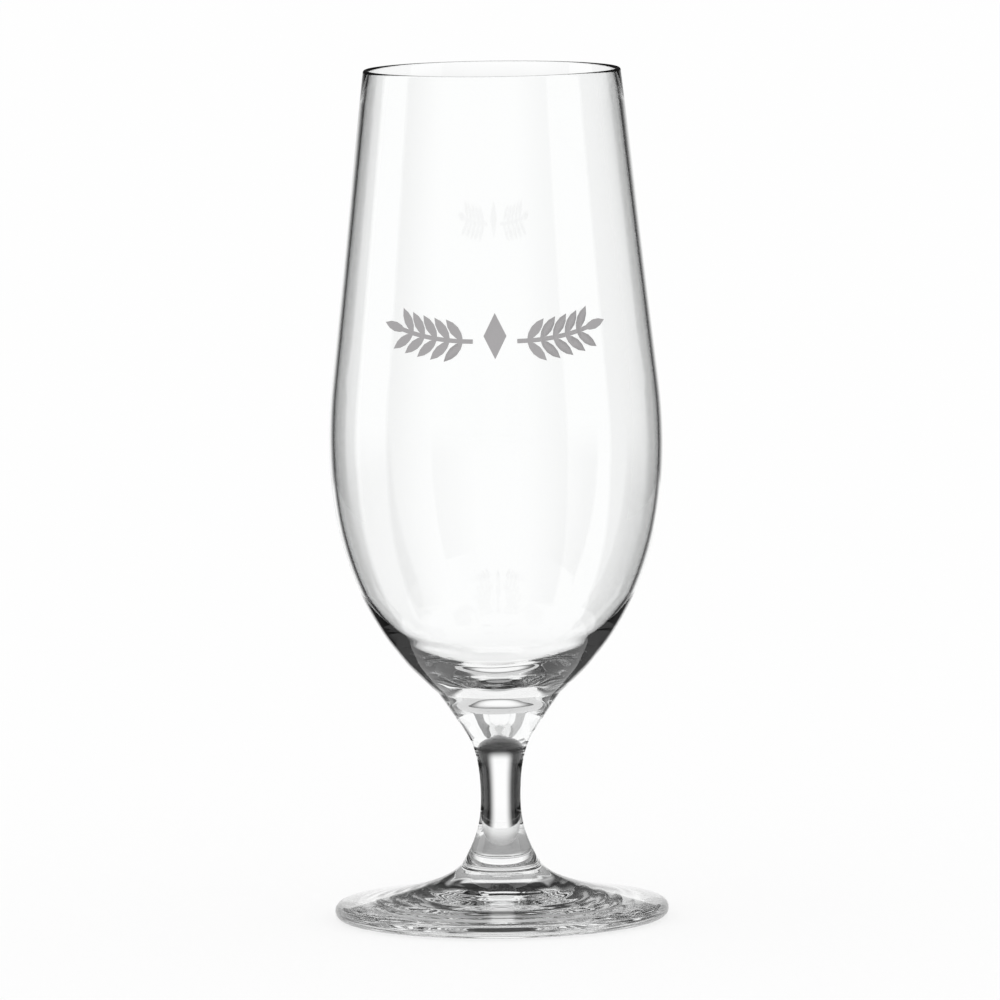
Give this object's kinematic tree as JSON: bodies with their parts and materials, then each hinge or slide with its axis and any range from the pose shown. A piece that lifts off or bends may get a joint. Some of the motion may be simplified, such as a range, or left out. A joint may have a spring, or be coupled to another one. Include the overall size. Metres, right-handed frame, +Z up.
{
  "type": "stemmed pilsner glass",
  "caption": "Footed beer glass: a tall bowl that narrows to a thin rim, a short waisted stem and a wide round foot, with a small barley print on the front.",
  "frame": {"origin": "on the axis of the glass, in the plane that the foot stands on", "axes": "+Z up along the axis of the glass; the printed front faces -Y; +X to the right as seen from the front"},
  "size_m": [0.0766, 0.0766, 0.195],
  "materials": {
    "clear_glass": "clear, fire polished",
    "enamel": "satin grey fired enamel, opaque"
  },
  "bodies": {
    "root": {"bowl": "clear_glass", "stem": "clear_glass", "foot": "clear_glass", "print_ear_left": "enamel", "print_ear_right": "enamel", "print_lozenge": "enamel"}
  },
  "joints": []
}
